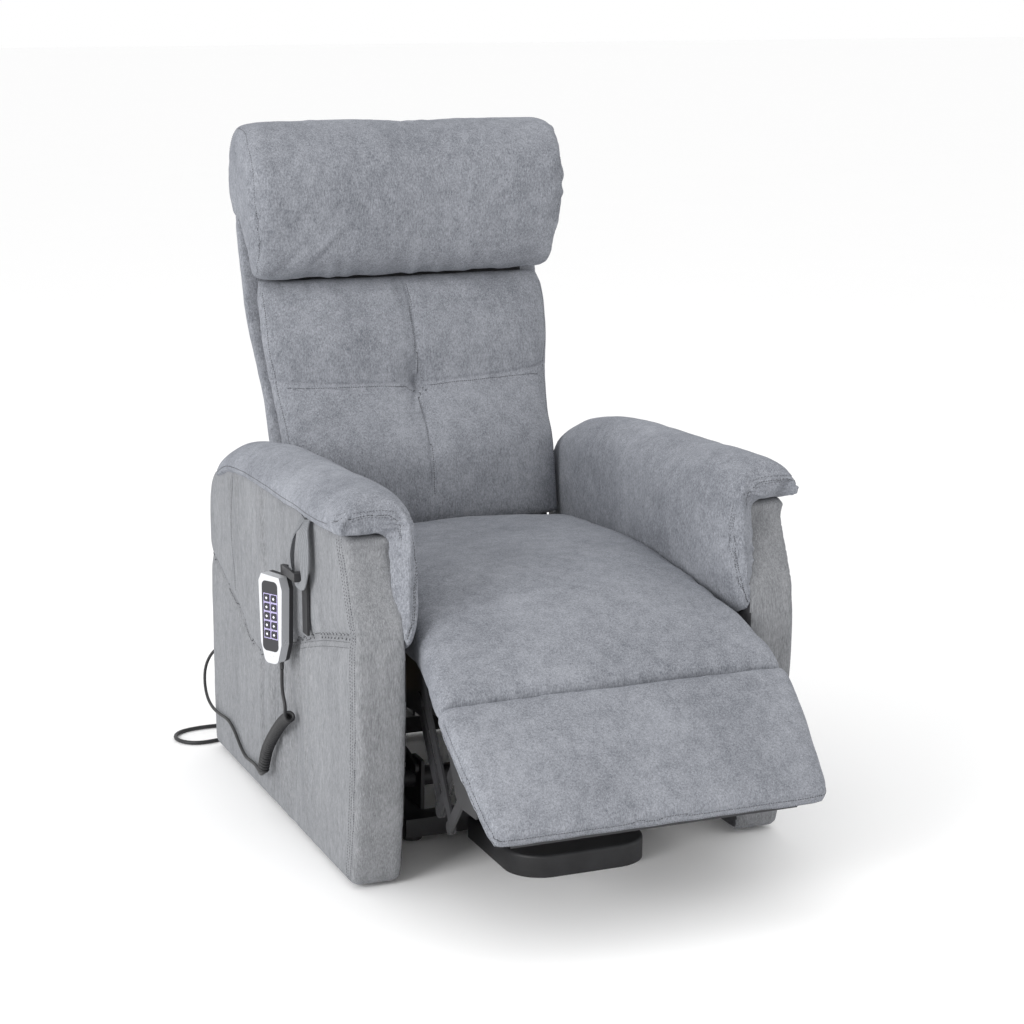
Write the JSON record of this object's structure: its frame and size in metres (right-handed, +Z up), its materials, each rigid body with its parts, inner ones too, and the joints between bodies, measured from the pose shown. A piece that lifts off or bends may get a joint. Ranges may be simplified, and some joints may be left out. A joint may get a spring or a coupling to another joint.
{
  "type": "lift recliner chair",
  "caption": "Powered armchair with padded arms, lifting seat, reclining back, folding footrest and a corded handset hung at its side.",
  "frame": {"origin": "on the floor, on the middle plane, level with the fronts of the side panels, on the underside of the front foot", "axes": "+Z up, the chair faces -Y, +X towards the sitter's left"},
  "size_m": [0.7997, 1.2116, 1.105],
  "materials": {
    "upholstery": "brushed velour",
    "webbing": "woven",
    "timber": "sawn plywood",
    "cord_rubber": "satin",
    "black_plastic": "fine texture",
    "silver_plastic": "silver lacquer",
    "bright_steel": "ground",
    "black_steel": "powder coat"
  },
  "bodies": {
    "base": {"base_rail_left": "black_steel", "base_rail_right": "black_steel", "base_front_foot": "black_steel", "base_cross_rear": "black_steel", "base_glides": "black_plastic", "power_supply_box": "black_plastic", "mains_strain_relief": "cord_rubber", "mains_cord": "cord_rubber", "mains_cord_coil": "cord_rubber", "mains_plug": "black_plastic"},
    "lift_arms": {"lift_arm_left": "black_steel", "lift_arm_right": "black_steel", "lift_torque_tube": "black_steel"},
    "lift_guides": {"lift_guide_links": "black_steel"},
    "lift_motor": {"lift_motor": "black_plastic"},
    "lift_ram": {"lift_ram": "bright_steel"},
    "chassis": {"mechanism_plate_left": "black_steel", "mechanism_plate_right": "black_steel", "mechanism_cross_tubes": "black_steel", "seat_side_rails": "timber", "seat_end_rails": "timber", "seat_webbing": "webbing", "side_panel_left": "upholstery", "side_panel_right": "upholstery", "arm_pad_left": "upholstery", "arm_pad_right": "upholstery", "seat_cushion": "upholstery", "handset_strap": "webbing", "footrest_motor": "black_plastic", "handset_cord_lead": "cord_rubber", "handset_cord_curl": "cord_rubber", "handset_cord_tail": "cord_rubber", "handset_cord_inlet": "black_plastic"},
    "back_motor": {"back_motor": "black_plastic"},
    "back_ram": {"back_ram": "bright_steel"},
    "footrest_ram": {"footrest_ram": "bright_steel"},
    "footrest_drive": {"footrest_drive_links": "black_steel"},
    "footrest_front_link": {"footrest_front_links": "black_steel"},
    "footrest_rear_fork": {"footrest_rear_forks": "black_steel"},
    "footrest_front_fork": {"footrest_front_forks": "black_steel"},
    "footrest": {"footrest_pad": "upholstery", "footrest_board": "timber", "footrest_brackets": "black_steel"},
    "back": {"back_frame": "timber", "back_cushion": "upholstery", "head_cushion": "upholstery", "back_shell": "upholstery", "back_brackets": "black_steel"},
    "handset": {"handset_face": "silver_plastic", "handset_back": "black_plastic"},
    "handset_button_left_1": {"handset_button_left_1": "black_plastic"},
    "handset_button_left_2": {"handset_button_left_2": "black_plastic"},
    "handset_button_left_3": {"handset_button_left_3": "black_plastic"},
    "handset_button_left_4": {"handset_button_left_4": "black_plastic"},
    "handset_button_left_5": {"handset_button_left_5": "black_plastic"},
    "handset_button_right_1": {"handset_button_right_1": "black_plastic"},
    "handset_button_right_2": {"handset_button_right_2": "black_plastic"},
    "handset_button_right_3": {"handset_button_right_3": "black_plastic"},
    "handset_button_right_4": {"handset_button_right_4": "black_plastic"},
    "handset_button_right_5": {"handset_button_right_5": "black_plastic"}
  },
  "joints": [
    {"name": "lift", "type": "hinge", "parent": "base", "child": "lift_arms", "pos_m": [0, 0.24, 0.085], "axis": [1, 0, 0], "range_deg": [0, 50]},
    {"name": "chassis_tilt", "type": "hinge", "parent": "lift_arms", "child": "chassis", "pos_m": [0, 0.6, 0.125], "axis": [1, 0, 0], "range_deg": [-24.1, 0.1]},
    {"name": "lift_guide", "type": "hinge", "parent": "base", "child": "lift_guides", "pos_m": [0, 0.2128, 0.11], "axis": [1, 0, 0], "range_deg": [-0.1, 52.9]},
    {"name": "lift_motor_swing", "type": "hinge", "parent": "base", "child": "lift_motor", "pos_m": [0, 0.7, 0.075], "axis": [1, 0, 0], "range_deg": [-0.1, 3.1]},
    {"name": "lift_ram_slide", "type": "slide", "parent": "lift_motor", "child": "lift_ram", "axis": [0, -0.9886, 0.1504], "range_m": [-0.0005, 0.047]},
    {"name": "footrest_extend", "type": "hinge", "parent": "chassis", "child": "footrest", "pos_m": [0, -0.05, 0.423], "axis": [-1, 0, 0], "range_deg": [-51.3, 30]},
    {"name": "footrest_drive", "type": "hinge", "parent": "chassis", "child": "footrest_drive", "pos_m": [0, 0.0442, 0.2752], "axis": [-1, 0, 0], "range_deg": [-54.37, 31.8]},
    {"name": "front_link_swing", "type": "hinge", "parent": "chassis", "child": "footrest_front_link", "pos_m": [0, 0.0047, 0.32], "axis": [-1, 0, 0], "range_deg": [-56.85, 33.26]},
    {"name": "rear_fork_swing", "type": "hinge", "parent": "footrest_drive", "child": "footrest_rear_fork", "pos_m": [0, -0.05171, 0.13074], "axis": [-1, 0, 0], "range_deg": [-33.66, 57.54]},
    {"name": "front_fork_swing", "type": "hinge", "parent": "footrest_front_link", "child": "footrest_front_fork", "pos_m": [0, -0.12135, 0.12941], "axis": [-1, 0, 0], "range_deg": [-37.76, 64.55]},
    {"name": "footrest_ram_slide", "type": "slide", "parent": "chassis", "child": "footrest_ram", "axis": [0, -1, 0], "range_m": [-0.05769, 0.03386]},
    {"name": "recline", "type": "hinge", "parent": "chassis", "child": "back", "pos_m": [0, 0.6, 0.33], "axis": [-1, 0, 0], "range_deg": [0, 38]},
    {"name": "back_motor_swing", "type": "hinge", "parent": "chassis", "child": "back_motor", "pos_m": [0, 0.13, 0.22], "axis": [-1, 0, 0], "range_deg": [-0.1, 0.9]},
    {"name": "back_ram_slide", "type": "slide", "parent": "back_motor", "child": "back_ram", "axis": [0, 0.9984, 0.0559], "range_m": [-0.0588, 0.0003]},
    {"name": "handset_lift_off", "type": "slide", "parent": "chassis", "child": "handset", "axis": [0, 0, 1], "range_m": [0, 0.045]},
    {"name": "press_left_1", "type": "slide", "parent": "handset", "child": "handset_button_left_1", "axis": [0.8746, 0.4848, 0], "range_m": [0, 0.0012], "stiffness_N_per_m": 400, "springref_m": -0.0002},
    {"name": "press_left_2", "type": "slide", "parent": "handset", "child": "handset_button_left_2", "axis": [0.8746, 0.4848, 0], "range_m": [0, 0.0012], "stiffness_N_per_m": 400, "springref_m": -0.0002},
    {"name": "press_left_3", "type": "slide", "parent": "handset", "child": "handset_button_left_3", "axis": [0.8746, 0.4848, 0], "range_m": [0, 0.0012], "stiffness_N_per_m": 400, "springref_m": -0.0002},
    {"name": "press_left_4", "type": "slide", "parent": "handset", "child": "handset_button_left_4", "axis": [0.8746, 0.4848, 0], "range_m": [0, 0.0012], "stiffness_N_per_m": 400, "springref_m": -0.0002},
    {"name": "press_left_5", "type": "slide", "parent": "handset", "child": "handset_button_left_5", "axis": [0.8746, 0.4848, 0], "range_m": [0, 0.0012], "stiffness_N_per_m": 400, "springref_m": -0.0002},
    {"name": "press_right_1", "type": "slide", "parent": "handset", "child": "handset_button_right_1", "axis": [0.8746, 0.4848, 0], "range_m": [0, 0.0012], "stiffness_N_per_m": 400, "springref_m": -0.0002},
    {"name": "press_right_2", "type": "slide", "parent": "handset", "child": "handset_button_right_2", "axis": [0.8746, 0.4848, 0], "range_m": [0, 0.0012], "stiffness_N_per_m": 400, "springref_m": -0.0002},
    {"name": "press_right_3", "type": "slide", "parent": "handset", "child": "handset_button_right_3", "axis": [0.8746, 0.4848, 0], "range_m": [0, 0.0012], "stiffness_N_per_m": 400, "springref_m": -0.0002},
    {"name": "press_right_4", "type": "slide", "parent": "handset", "child": "handset_button_right_4", "axis": [0.8746, 0.4848, 0], "range_m": [0, 0.0012], "stiffness_N_per_m": 400, "springref_m": -0.0002},
    {"name": "press_right_5", "type": "slide", "parent": "handset", "child": "handset_button_right_5", "axis": [0.8746, 0.4848, 0], "range_m": [0, 0.0012], "stiffness_N_per_m": 400, "springref_m": -0.0002}
  ],
  "couplings": [
    {"joint": "chassis_tilt", "follows": "lift", "ratio": -0.48},
    {"joint": "lift_guide", "follows": "lift", "ratio": 1.0566},
    {"joint": "lift_motor_swing", "follows": "lift", "ratio": 0.06},
    {"joint": "lift_ram_slide", "follows": "lift", "m_per_rad": 0.0531},
    {"joint": "footrest_drive", "follows": "footrest_extend", "ratio": 1.0594},
    {"joint": "front_link_swing", "follows": "footrest_extend", "ratio": 1.1079},
    {"joint": "rear_fork_swing", "follows": "footrest_extend", "ratio": -1.1213},
    {"joint": "front_fork_swing", "follows": "footrest_extend", "ratio": -1.2579},
    {"joint": "footrest_ram_slide", "follows": "footrest_extend", "m_per_rad": 0.06409},
    {"joint": "back_motor_swing", "follows": "recline", "ratio": 0.02},
    {"joint": "back_ram_slide", "follows": "recline", "m_per_rad": -0.088}
  ]
}
